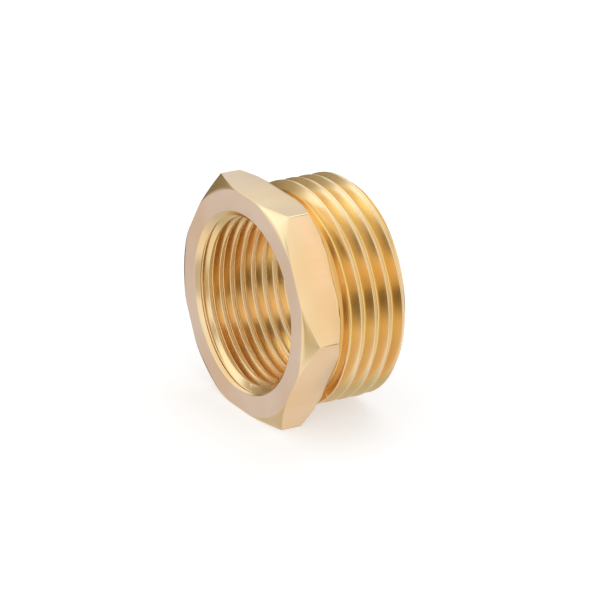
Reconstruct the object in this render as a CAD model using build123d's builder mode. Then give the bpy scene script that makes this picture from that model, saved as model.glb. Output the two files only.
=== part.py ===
"""Hex bushing: a one-piece brass reducing bushing, G1 male thread to G3/4 female thread.

Millimetres. The bore runs along +X from the centre of the hexagon's front face,
and the hexagon lies on one of its flats. The bore is at the crest diameter of its
fine female thread, which isn't cut here.
"""

from build123d import *
from build123d.topology import SkipClean
import math
import os

# Hexagon
across_flats = 33.0
hex_length = 6.3
front_chamfer_angle = 33.0
rear_chamfer_angle = 35.0
face_rim = 0.2

# Spigot: the neck behind the hexagon, then the cylinder with the male thread
neck_length = 1.6
neck_diameter = 29.8
body_length = 18.2
end_chamfer = 1.2

# Male thread, G1, at the small end of its tolerance
male_major_diameter = 32.9
male_pitch = 2.309
male_crest_flat = 0.385
male_thread_offset = 0.2

# Whitworth form
flank_angle = 27.5
thread_depth_per_pitch = 0.6403
cutter_overrun = 0.15

# Bore at the crests of the G3/4 female thread, at the large end of its tolerance
female_minor_diameter = 24.66
front_mouth_diameter = 27.1
rear_mouth_diameter = 26.9

# Round walls are turned in sectors, so that each turn of a crest is short arcs of a cylinder
sectors = 8

apothem = across_flats / 2
corner_radius = apothem / math.cos(math.radians(30))
face_radius = apothem + face_rim
front_chamfer_depth = (corner_radius - face_radius) * math.tan(math.radians(front_chamfer_angle))
rear_chamfer_depth = (corner_radius - face_radius) * math.tan(math.radians(rear_chamfer_angle))
neck_radius = neck_diameter / 2
male_radius = male_major_diameter / 2
thread_start = hex_length + neck_length
thread_depth = thread_depth_per_pitch * male_pitch
bore_radius = female_minor_diameter / 2
front_mouth_radius = front_mouth_diameter / 2
rear_mouth_radius = rear_mouth_diameter / 2
front_countersink = front_mouth_radius - bore_radius
rear_countersink = rear_mouth_radius - bore_radius


def turn_profile(points, mode):
    """Revolve an outline of (along the axis, radius) points about the bore's axis, sector by sector."""
    arc = 360 / sectors
    for index in range(sectors):
        with BuildSketch(Plane.XY.rotated((index * arc, 0, 0))) as outline:
            with BuildLine():
                Polyline(*points, close=True)
            make_face()
        revolve(outline.sketch, axis=Axis.X, revolution_arc=arc, clean=False, mode=mode)


def one_turn_of_groove(start):
    """One right-hand turn of the male thread's groove, which starts above the axis."""
    flank_slope = math.tan(math.radians(flank_angle))
    mouth_half_width = (male_pitch - male_crest_flat) / 2 + cutter_overrun * flank_slope
    root_half_width = mouth_half_width - (cutter_overrun + thread_depth) * flank_slope
    mouth_radius = male_radius + cutter_overrun
    root_radius = male_radius - thread_depth
    with BuildPart() as groove:
        with BuildLine() as path:
            Helix(
                pitch=male_pitch,
                height=male_pitch,
                radius=male_radius,
                center=(start, 0, 0),
                direction=(1, 0, 0),
            )
        with BuildSketch(Plane(origin=(start, 0, 0), x_dir=(1, 0, 0), z_dir=(0, -1, 0))):
            with BuildLine():
                Polyline(
                    (-mouth_half_width, mouth_radius),
                    (-root_half_width, root_radius),
                    (root_half_width, root_radius),
                    (mouth_half_width, mouth_radius),
                    close=True,
                )
            make_face()
        sweep(path=path.line, is_frenet=True)
    return groove.part


with BuildPart() as hexagon:
    with BuildSketch(Plane.YZ):
        RegularPolygon(radius=apothem, side_count=6, major_radius=False)
    extrude(amount=hex_length)
    # The corners are turned off to a cone at each face
    with BuildSketch(Plane.XY):
        with BuildLine():
            Polyline(
                (0, 0),
                (0, face_radius),
                (front_chamfer_depth, corner_radius),
                (hex_length - rear_chamfer_depth, corner_radius),
                (hex_length, face_radius),
                (hex_length, 0),
                close=True,
            )
        make_face()
    revolve(axis=Axis.X, mode=Mode.INTERSECT)

with SkipClean(), BuildPart() as hex_bushing:
    turn_profile(
        [
            (0, 0),
            (0, neck_radius),
            (thread_start, neck_radius),
            (thread_start, male_radius),
            (body_length - end_chamfer, male_radius),
            (body_length, male_radius - end_chamfer),
            (body_length, 0),
        ],
        Mode.ADD,
    )
    # The thread is cut turn by turn, from over the neck until it runs out past the end
    first_turn = hex_length - male_thread_offset
    turns = math.ceil((body_length - first_turn) / male_pitch)
    groove_turn = one_turn_of_groove(first_turn)
    with Locations(*[(turn * male_pitch, 0, 0) for turn in range(turns)]):
        add(groove_turn, mode=Mode.SUBTRACT, clean=False)
    add(hexagon.part, clean=False)
    turn_profile(
        [
            (0, 0),
            (0, front_mouth_radius),
            (front_countersink, bore_radius),
            (body_length - rear_countersink, bore_radius),
            (body_length, rear_mouth_radius),
            (body_length, 0),
        ],
        Mode.SUBTRACT,
    )

hex_bushing.part.label = "hex_bushing"
os.makedirs("parts", exist_ok=True)
export_step(hex_bushing.part, "parts/hex_bushing.step")
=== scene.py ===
import math

import bmesh
import bpy
from mathutils import Matrix, Vector


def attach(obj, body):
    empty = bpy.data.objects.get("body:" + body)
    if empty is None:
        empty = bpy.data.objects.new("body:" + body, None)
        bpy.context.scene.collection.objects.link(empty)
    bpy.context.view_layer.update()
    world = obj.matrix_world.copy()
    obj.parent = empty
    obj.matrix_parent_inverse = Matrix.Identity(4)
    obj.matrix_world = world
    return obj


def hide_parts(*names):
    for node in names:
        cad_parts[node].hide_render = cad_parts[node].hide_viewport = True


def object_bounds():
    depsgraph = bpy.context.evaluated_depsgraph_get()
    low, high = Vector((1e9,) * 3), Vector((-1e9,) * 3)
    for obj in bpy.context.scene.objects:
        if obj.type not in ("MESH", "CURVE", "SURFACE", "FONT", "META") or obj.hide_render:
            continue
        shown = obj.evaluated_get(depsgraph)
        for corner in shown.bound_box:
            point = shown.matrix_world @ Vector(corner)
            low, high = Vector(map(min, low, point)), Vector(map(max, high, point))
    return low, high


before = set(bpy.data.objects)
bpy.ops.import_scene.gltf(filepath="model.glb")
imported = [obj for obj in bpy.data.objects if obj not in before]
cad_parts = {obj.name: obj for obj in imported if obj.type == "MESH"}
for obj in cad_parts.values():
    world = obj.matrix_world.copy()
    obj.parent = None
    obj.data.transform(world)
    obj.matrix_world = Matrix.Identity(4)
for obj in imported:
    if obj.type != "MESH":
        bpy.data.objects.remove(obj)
cad_low, cad_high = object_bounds()

MM = 0.001

# Sizes of the part in millimetres, as in its source
APOTHEM = 16.5
HEX_LENGTH = 6.3
FRONT_CHAMFER_ANGLE = 33
REAR_CHAMFER_ANGLE = 35
FACE_RADIUS = 16.7
NECK_LENGTH = 1.6
NECK_RADIUS = 14.9
BODY_LENGTH = 18.2
END_CHAMFER = 1.2
MALE_RADIUS = 16.45
MALE_PITCH = 2.309
MALE_CREST_FLAT = 0.385
MALE_START = 6.1
BORE_RADIUS = 12.33
FRONT_MOUTH_RADIUS = 13.55
REAR_MOUTH_RADIUS = 13.45
FLANK_ANGLE = 27.5

# The G3/4 female thread, which is cut only here
FEMALE_PITCH = 1.814
FEMALE_CREST_FLAT = 0.45
FEMALE_START = -2.18

# Edges and roots that the source leaves sharp
FRONT_EDGE_BREAK = 0.1
REAR_EDGE_DROP = 0.3
REAR_EDGE_LENGTH = 0.6
FINE_ROUND = 0.08
FACE_ROUND = 0.6
HEX_CORNER_ROUND = 0.3
NECK_ROUND = 0.2
LARGEST_ROUND_SHARE = 0.4
CREST_BREAK = 0.05
ROOT_ROUNDING_PER_PITCH = 0.1373

# How the meshes are divided
ANGLE_STEP = 2.5
CORNER_STEPS = (0.15, 0.3, 0.45, 1.0)
ROUND_STEPS = 3
ROOT_STEPS = 4
STEPS_PER_TURN = 144
CUTTER_OVERRUN = 0.15
GROOVE_CLEARANCE = 0.3
SHARP_ANGLE = 26

# Brass, in linear colour, and its finishes as (smoothest, roughest)
BRASS_LIGHT = (0.98, 0.77, 0.465)
BRASS_DEEP = (0.92, 0.66, 0.34)
# The darker colour used as painted shade at the bottom of the grooves and the neck
BRASS_PAINTED_SHADE = (0.78, 0.52, 0.10)
SATIN = (0.17, 0.28)
RUBBED = (0.42, 0.55)
DRAWN_MARKS = (30, 2500, 2500)
TURNED_MARKS = (4000, 4000, 1)

# How far the grooves and the neck are darkened with painted shade, and how deep a crest counts as rubbed
MALE_PAINTED_SHADE = 0.45
NECK_PAINTED_SHADE = 0.1
FEMALE_PAINTED_SHADE = 0.12
MOUTH_MARGIN = 0.9
CREST_DEPTH = 0.01

# A face is one of the hexagon's flats if it is this near their radius and this nearly along the axis
FLAT_NEARNESS = 1
FLAT_LEAN = 0.1

# Camera
CAMERA_PLACE = Vector((-384.46, -630.23, 308.34)) * MM
CAMERA_RIGHT = Vector((0.85455, -0.51832, 0.03299))
CAMERA_UP = Vector((0.17355, 0.34485, 0.92248))
CAMERA_LENS = 334.4
CAMERA_SHIFT = 0.0012
SENSOR_WIDTH = 36

# What the metal mirrors: an even pale room, with soft screens as (direction, inner and outer angle, colour)
ROOM = (0.97, 0.96, 0.95)
SCREENS = [
    ((0.45, 0.00, -0.89), 30, 50, (0.84, 0.77, 0.80)),
    ((0.49, 0.38, -0.79), 9, 20, (0.48, 0.46, 0.45)),
    ((-0.28, 0.15, -0.95), 10, 22, (0.70, 0.70, 0.80)),
    ((-0.26, 0.54, -0.80), 10, 22, (0.60, 0.58, 0.54)),
    ((0.15, 0.98, -0.05), 24, 38, (0.24, 0.20, 0.13)),
    ((-0.49, 0.78, -0.38), 10, 24, (0.67, 0.65, 0.84)),
    ((0.49, 0.78, 0.38), 8, 20, (0.75, 0.77, 0.88)),
    ((-0.50, 0.85, 0.10), 6, 17, (0.38, 0.32, 0.22)),
    ((-0.80, 0.52, 0.28), 8, 18, (1.22, 1.35, 1.45)),
    ((0.47, 0.26, 0.84), 12, 22, (1.45, 1.68, 1.95)),
    ((0.66, -0.72, 0.22), 5, 14, (0.72, 0.67, 0.55)),
    ((0.49, -0.70, 0.50), 8, 16, (0.95, 0.83, 0.78)),
    ((0.44, -0.70, 0.54), 2, 9, (1.12, 1.02, 1.15)),
    ((0.53, -0.23, 0.82), 7, 17, (0.06, 0.04, 0.02)),
    ((0.55, -0.81, -0.17), 8, 19, (0.10, 0.08, 0.04)),
    ((-0.935, 0.31, 0.17), 3, 9.5, (0.40, 0.32, 0.21)),
    ((-0.57, 0.37, -0.735), 4, 13, (0.55, 0.54, 0.42)),
    ((0.48, 0.79, -0.385), 5, 14, (0.30, 0.27, 0.22)),
    ((-0.96, 0.04, -0.30), 3, 12, (0.40, 0.33, 0.22)),
    ((-0.91, -0.13, -0.39), 6, 12, (0.62, 0.55, 0.42)),
    ((-0.80, -0.46, -0.39), 12, 22, (0.58, 0.57, 0.60)),
]

# Floor
FLOOR_REACH = 2.0
FLOOR_GREY = (0.6, 0.6, 0.6, 1)
FLOOR_GLOW = 0.5
FLOOR_ROUGHNESS = 0.9


def tan_deg(angle):
    return math.tan(math.radians(angle))


# Meshes


def new_object(name, vertices, faces):
    """A closed mesh from points in millimetres, with its faces turned outwards."""
    mesh = bpy.data.meshes.new(name)
    mesh.from_pydata([Vector(vertex) * MM for vertex in vertices], [], faces)
    work = bmesh.new()
    work.from_mesh(mesh)
    bmesh.ops.recalc_face_normals(work, faces=work.faces)
    work.to_mesh(mesh)
    work.free()
    made = bpy.data.objects.new(name, mesh)
    bpy.context.scene.collection.objects.link(made)
    return made


def at_angle(x, radius, angle):
    """A point at an angle round the bore's axis: 0 is +Y and 90 is +Z."""
    turn = math.radians(angle)
    return (x, radius * math.cos(turn), radius * math.sin(turn))


def ring_faces(rings, points, closed):
    """Quads between neighbouring rings of points, and from the last ring to the first if closed."""
    faces = []
    for ring in range(rings if closed else rings - 1):
        after = (ring + 1) % rings
        for point in range(points):
            beside = (point + 1) % points
            faces.append(
                (
                    ring * points + point,
                    after * points + point,
                    after * points + beside,
                    ring * points + beside,
                )
            )
    return faces


def rounded(corners):
    """A closed outline from (point, size) corners, each cut back by its size and filled with a curve."""
    points = [Vector(point) for point, _ in corners]
    made = []
    for index, (_, size) in enumerate(corners):
        here = points[index]
        before = points[index - 1] - here
        after = points[(index + 1) % len(points)] - here
        size = min(size, before.length * LARGEST_ROUND_SHARE, after.length * LARGEST_ROUND_SHARE)
        start = here + before.normalized() * size
        end = here + after.normalized() * size
        for step in range(ROUND_STEPS + 1):
            t = step / ROUND_STEPS
            made.append(tuple(start * (1 - t) ** 2 + here * 2 * t * (1 - t) + end * t**2))
    return made


# The blank


def hexagon_radius(angle):
    """The hexagon's radius at an angle, with its corners a little rounded."""
    turn = math.radians(abs(angle % 60 - 30))
    inner_apothem = APOTHEM - HEX_CORNER_ROUND
    if turn <= math.atan(inner_apothem * tan_deg(30) / APOTHEM):
        return APOTHEM / math.cos(turn)
    centre = inner_apothem / math.cos(math.radians(30))
    from_corner = math.radians(30) - turn
    across = centre * math.sin(from_corner)
    return centre * math.cos(from_corner) + math.sqrt(HEX_CORNER_ROUND**2 - across**2)


def blank_outline(angle):
    """The outline of the unthreaded blank at an angle, as (along the axis, radius) points."""
    radius = hexagon_radius(angle)
    front_cut = max(radius - FACE_RADIUS, FRONT_EDGE_BREAK)
    front = front_cut * tan_deg(FRONT_CHAMFER_ANGLE)
    rear_cut = max(radius - FACE_RADIUS, REAR_EDGE_DROP)
    rear = max(rear_cut * tan_deg(REAR_CHAMFER_ANGLE), REAR_EDGE_LENGTH)
    neck_end = HEX_LENGTH + NECK_LENGTH
    front_sink = FRONT_MOUTH_RADIUS - BORE_RADIUS
    rear_sink = REAR_MOUTH_RADIUS - BORE_RADIUS
    return rounded(
        [
            ((0, FRONT_MOUTH_RADIUS), FINE_ROUND),
            ((0, radius - front_cut), FACE_ROUND),
            ((front, radius), FINE_ROUND),
            ((HEX_LENGTH - rear, radius), 2 * FINE_ROUND),
            ((HEX_LENGTH, radius - rear_cut), 2 * FINE_ROUND),
            ((HEX_LENGTH, NECK_RADIUS), NECK_ROUND),
            ((neck_end, NECK_RADIUS), FINE_ROUND),
            ((neck_end, MALE_RADIUS), FINE_ROUND),
            ((BODY_LENGTH - END_CHAMFER, MALE_RADIUS), FINE_ROUND),
            ((BODY_LENGTH, MALE_RADIUS - END_CHAMFER), FINE_ROUND),
            ((BODY_LENGTH, REAR_MOUTH_RADIUS), FINE_ROUND),
            ((BODY_LENGTH - rear_sink, BORE_RADIUS), FINE_ROUND),
            ((front_sink, BORE_RADIUS), FINE_ROUND),
        ]
    )


def blank_angles():
    """Even steps, with a few more round each corner of the hexagon."""
    angles = {step * ANGLE_STEP for step in range(round(360 / ANGLE_STEP))}
    for corner in range(0, 360, 60):
        for offset in CORNER_STEPS:
            angles.add(corner + offset)
            angles.add((corner - offset) % 360)
    return sorted(angles)


def make_blank():
    """The bushing without its threads, from an outline at each angle round the axis."""
    vertices = []
    for angle in blank_angles():
        outline = blank_outline(angle)
        vertices += [at_angle(x, radius, angle) for x, radius in outline]
    return new_object("bushing", vertices, ring_faces(len(blank_angles()), len(outline), True))


# The threads


def groove_section(pitch, crest_radius, crest_flat, side):
    """A groove's section, as (along the axis, radius) points: side is 1 for a groove outside its crests."""
    slope = tan_deg(FLANK_ANGLE)
    half = (pitch - crest_flat) / 2
    root_round = ROOT_ROUNDING_PER_PITCH * pitch
    root_centre = half / slope - root_round / math.sin(math.radians(FLANK_ANGLE))
    right = [
        (half + CREST_BREAK, -CUTTER_OVERRUN),
        (half + CREST_BREAK, 0),
        (half - CREST_BREAK * slope, CREST_BREAK),
    ]
    for step in range(ROOT_STEPS + 1):
        turn = math.radians(FLANK_ANGLE + (90 - FLANK_ANGLE) * step / ROOT_STEPS)
        right.append((root_round * math.cos(turn), root_centre + root_round * math.sin(turn)))
    left = [(-x, depth) for x, depth in reversed(right[:-1])]
    return [(x, crest_radius + side * depth) for x, depth in right + left]


def make_groove(section, pitch, start, first, last, lowest):
    """The section swept from first to last along a right-hand helix that is above the axis at start."""
    step = pitch / STEPS_PER_TURN
    begin = math.ceil((first - start) / step)
    end = math.floor((last - start) / step)
    vertices = []
    for index in range(begin, end + 1):
        # Half a step off the blank's angles, so that no edges of the two meshes meet
        angle = 90 + 360 * (index + 0.5) / STEPS_PER_TURN
        centre = start + step * (index + 0.5)
        vertices += [at_angle(max(centre + x, lowest), radius, angle) for x, radius in section]
    rings = end - begin + 1
    points = len(section)
    faces = ring_faces(rings, points, False)
    faces.append(tuple(range(points)))
    faces.append(tuple(reversed(range((rings - 1) * points, rings * points))))
    return new_object("groove", vertices, faces)


def cut(body, tool):
    """The tool taken out of the body, and then deleted."""
    modifier = body.modifiers.new("cut", "BOOLEAN")
    modifier.operation = "DIFFERENCE"
    modifier.solver = "MANIFOLD"
    modifier.object = tool
    shaped = body.evaluated_get(bpy.context.evaluated_depsgraph_get())
    body.data = bpy.data.meshes.new_from_object(shaped)
    body.modifiers.clear()
    bpy.data.objects.remove(tool)


def cut_male_thread(body):
    # The groove begins in the neck, clear of the hexagon
    clear = HEX_LENGTH + GROOVE_CLEARANCE
    section = groove_section(MALE_PITCH, MALE_RADIUS, MALE_CREST_FLAT, -1)
    cut(body, make_groove(section, MALE_PITCH, MALE_START, clear, BODY_LENGTH + MALE_PITCH, clear))


def cut_female_thread(body):
    first = -FEMALE_PITCH
    last = BODY_LENGTH + FEMALE_PITCH
    section = groove_section(FEMALE_PITCH, BORE_RADIUS, FEMALE_CREST_FLAT, 1)
    cut(body, make_groove(section, FEMALE_PITCH, FEMALE_START, first, last, 2 * first))


# Brass


def node(tree, kind, **values):
    """A new shader node with its sockets and properties set by name."""
    made = tree.nodes.new(kind)
    for name, value in values.items():
        if name in made.inputs:
            made.inputs[name].default_value = value
        else:
            setattr(made, name, value)
    return made


def link(tree, source, target):
    tree.links.new(source, target)


def map_range(tree, value, source, target, **properties):
    """The value carried from one (low, high) range to another."""
    made = node(tree, "ShaderNodeMapRange", **properties)
    made.inputs["From Min"].default_value, made.inputs["From Max"].default_value = source
    made.inputs["To Min"].default_value, made.inputs["To Max"].default_value = target
    link(tree, value, made.inputs["Value"])
    return made.outputs["Result"]


def mix_colours(tree, first, second, factor):
    """A colour mixed from first to second, each a socket or three numbers."""
    made = node(tree, "ShaderNodeMix", data_type="RGBA")
    sockets = {socket.identifier: socket for socket in made.inputs}
    link(tree, factor, sockets["Factor_Float"])
    for socket, value in ((sockets["A_Color"], first), (sockets["B_Color"], second)):
        if isinstance(value, tuple):
            socket.default_value = (*value, 1)
        else:
            link(tree, value, socket)
    return next(socket for socket in made.outputs if socket.identifier == "Result_Color")


def noise(tree, vector, **values):
    made = node(tree, "ShaderNodeTexNoise", **values)
    link(tree, vector, made.inputs["Vector"])
    return made.outputs["Fac"]


def bump(tree, height, strength, distance, normal=None):
    made = node(tree, "ShaderNodeBump", Strength=strength, Distance=distance)
    link(tree, height, made.inputs["Height"])
    if normal:
        link(tree, normal, made.inputs["Normal"])
    return made.outputs["Normal"]


def along_and_radius(tree, place):
    """The place as (along the axis, radius), so that marks on it run round the axis."""
    split = node(tree, "ShaderNodeSeparateXYZ")
    link(tree, place, split.inputs["Vector"])
    across = node(tree, "ShaderNodeCombineXYZ")
    link(tree, split.outputs["Y"], across.inputs["Y"])
    link(tree, split.outputs["Z"], across.inputs["Z"])
    radius = node(tree, "ShaderNodeVectorMath", operation="LENGTH")
    link(tree, across.outputs["Vector"], radius.inputs[0])
    made = node(tree, "ShaderNodeCombineXYZ")
    link(tree, split.outputs["X"], made.inputs["X"])
    link(tree, radius.outputs["Value"], made.inputs["Y"])
    return made.outputs["Vector"]


def brass_material(name, finish, drawn=False):
    """Brass with fine tool marks: along the bar if drawn, and otherwise round the axis."""
    material = bpy.data.materials.new(name)
    material.use_nodes = True
    tree = material.node_tree
    shader = tree.nodes["Principled BSDF"]
    shader.inputs["Metallic"].default_value = 1.0
    place = node(tree, "ShaderNodeTexCoord").outputs["Object"]

    stretch = node(tree, "ShaderNodeMapping", Scale=DRAWN_MARKS if drawn else TURNED_MARKS)
    link(tree, place if drawn else along_and_radius(tree, place), stretch.inputs["Vector"])
    marks = noise(tree, stretch.outputs["Vector"], Scale=1.0, Detail=3.0, Roughness=0.6)
    link(tree, map_range(tree, marks, (0, 1), finish), shader.inputs["Roughness"])

    cloud = noise(tree, place, Scale=90.0, Detail=2.0, Roughness=0.5)
    shade = map_range(tree, cloud, (0.3, 0.7), (0, 1))
    tint = mix_colours(tree, BRASS_LIGHT, BRASS_DEEP, shade)
    # Painted shade: the base colour darkens towards the bottom of the grooves and the neck
    painted_shade = node(tree, "ShaderNodeAttribute", attribute_name="painted_shade").outputs["Fac"]
    link(tree, mix_colours(tree, tint, BRASS_PAINTED_SHADE, painted_shade), shader.inputs["Base Color"])

    swell = noise(tree, place, Scale=70.0, Detail=0.0)
    normal = bump(tree, swell, 1.0, 0.002 if drawn else 0.001)
    normal = bump(tree, marks, 0.12, 0.00002, normal)
    link(tree, normal, shader.inputs["Normal"])
    return material


def finish_of(face):
    """Which material a face takes: 0 turned, 1 drawn or 2 rubbed."""
    place = face.center / MM
    reach = math.hypot(place.y, place.z)
    if place.x < HEX_LENGTH and reach > APOTHEM - FLAT_NEARNESS and abs(face.normal.x) < FLAT_LEAN:
        return 1
    male_crest = place.x > HEX_LENGTH + NECK_LENGTH and reach > MALE_RADIUS - CREST_DEPTH
    female_crest = reach < BORE_RADIUS + CREST_DEPTH
    return 2 if male_crest or female_crest else 0


def painted_shade_at(place):
    """How much painted shade a point takes: 0 on the faces and crests, and more towards the bottom of the
    neck and of the grooves.
    """
    reach = math.hypot(place.y, place.z)
    outside = reach > (MALE_RADIUS + BORE_RADIUS) / 2
    if outside and HEX_LENGTH + FINE_ROUND < place.x < BODY_LENGTH - FINE_ROUND:
        most = MALE_PAINTED_SHADE if place.x > HEX_LENGTH + NECK_LENGTH else NECK_PAINTED_SHADE
        return most * min(1, max(0, (MALE_RADIUS - reach) / (MALE_RADIUS - NECK_RADIUS)))
    if not outside and MOUTH_MARGIN < place.x < BODY_LENGTH - MOUTH_MARGIN:
        return FEMALE_PAINTED_SHADE * min(1, max(0, reach - BORE_RADIUS))
    return 0


def paint(body):
    """The hexagon's flats are drawn bar, the threads' crests are rubbed, and the rest is turned; the
    grooves and the neck also get painted shade.
    """
    mesh = body.data
    mesh.materials.clear()
    mesh.materials.append(brass_material("turned_brass", SATIN))
    mesh.materials.append(brass_material("drawn_brass", SATIN, drawn=True))
    mesh.materials.append(brass_material("rubbed_brass", RUBBED))
    for face in mesh.polygons:
        face.material_index = finish_of(face)
    # Painted shade, deepest at the bottom of the grooves and the neck, kept on each point for the materials
    painted_shade = mesh.attributes.new("painted_shade", "FLOAT", "POINT")
    for vertex in mesh.vertices:
        painted_shade.data[vertex.index].value = painted_shade_at(vertex.co / MM)


def make_bushing():
    """The whole part, in place of its plainer solid."""
    body = make_blank()
    cut_male_thread(body)
    cut_female_thread(body)
    body.data.shade_smooth()
    body.data.set_sharp_from_angle(angle=math.radians(SHARP_ANGLE))
    paint(body)
    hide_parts("hex_bushing")
    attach(body, "root")


# Studio


def add_camera():
    """The camera at the photograph's viewing angle."""
    data = bpy.data.cameras.new("camera")
    data.lens = CAMERA_LENS
    data.shift_y = CAMERA_SHIFT
    data.sensor_width = SENSOR_WIDTH
    data.clip_start = 0.01
    data.clip_end = 10
    camera = bpy.data.objects.new("camera", data)
    back = CAMERA_RIGHT.cross(CAMERA_UP).normalized()
    up = back.cross(CAMERA_RIGHT).normalized()
    turn = Matrix((CAMERA_RIGHT.normalized(), up, back)).transposed()
    camera.matrix_world = Matrix.Translation(CAMERA_PLACE) @ turn.to_4x4()
    bpy.context.scene.collection.objects.link(camera)
    bpy.context.scene.camera = camera


def add_world():
    """A white room for the camera, and one with soft screens for the metal."""
    world = bpy.data.worlds.new("studio")
    bpy.context.scene.world = world
    world.use_nodes = True
    tree = world.node_tree
    direction = node(tree, "ShaderNodeTexCoord").outputs["Generated"]
    colour = ROOM
    for screen, inner, outer, tone in SCREENS:
        facing = node(tree, "ShaderNodeVectorMath", operation="DOT_PRODUCT")
        link(tree, direction, facing.inputs[0])
        facing.inputs[1].default_value = Vector(screen).normalized()
        edge = (math.cos(math.radians(outer)), math.cos(math.radians(inner)))
        share = map_range(tree, facing.outputs["Value"], edge, (0, 1), interpolation_type="SMOOTHSTEP")
        colour = mix_colours(tree, colour, tone, share)
    seen = node(tree, "ShaderNodeLightPath").outputs["Is Camera Ray"]
    white = mix_colours(tree, colour, (1.0, 1.0, 1.0), seen)
    link(tree, white, tree.nodes["Background"].inputs["Color"])


def add_floor():
    """A pale floor under the part, white to the camera except in the part's shadow."""
    low = cad_low[2]
    corners = [(-1, -1), (1, -1), (1, 1), (-1, 1)]
    mesh = bpy.data.meshes.new("floor")
    mesh.from_pydata([(x * FLOOR_REACH, y * FLOOR_REACH, low) for x, y in corners], [], [(0, 1, 2, 3)])
    floor = bpy.data.objects.new("floor", mesh)
    bpy.context.scene.collection.objects.link(floor)
    material = bpy.data.materials.new("floor")
    material.use_nodes = True
    shader = material.node_tree.nodes["Principled BSDF"]
    shader.inputs["Base Color"].default_value = FLOOR_GREY
    shader.inputs["Roughness"].default_value = FLOOR_ROUGHNESS
    shader.inputs["Emission Color"].default_value = (1, 1, 1, 1)
    shader.inputs["Emission Strength"].default_value = FLOOR_GLOW
    mesh.materials.append(material)
    floor.visible_glossy = False


make_bushing()
add_camera()
add_world()
add_floor()
bpy.context.scene.view_settings.view_transform = "Standard"
